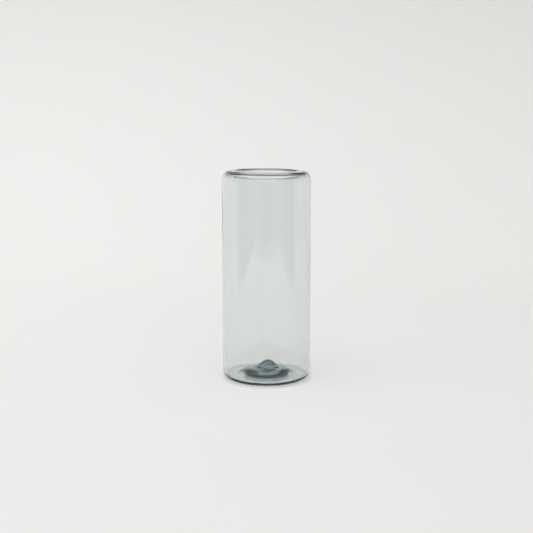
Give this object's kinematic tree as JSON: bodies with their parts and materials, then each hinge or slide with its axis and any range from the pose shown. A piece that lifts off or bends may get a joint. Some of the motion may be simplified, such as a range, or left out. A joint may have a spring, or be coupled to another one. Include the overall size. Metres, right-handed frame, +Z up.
{
  "type": "vase",
  "caption": "Tall straight blown-glass cylinder vase in pale smoke grey, with a turned-in rounded rim, a rounded heel and a solid glass boss in the floor.",
  "frame": {"origin": "centre of the flat ring that the vase stands on", "axes": "+Z up along the axis of the cylinder towards the mouth; X and Y in the standing plane, any direction, because the vase is round"},
  "size_m": [0.0844, 0.0844, 0.2],
  "materials": {
    "smoke_glass": "fire-polished, clear, very slightly wavy",
    "thick_smoke_glass": "fire-polished, clear, deep in colour because it is thick",
    "rough_smoke_glass": "broken off and rough ground"
  },
  "bodies": {
    "root": {"vase_body": "smoke_glass", "base_boss": "thick_smoke_glass", "boss_tip": "thick_smoke_glass", "pontil_wad": "rough_smoke_glass"}
  },
  "joints": []
}
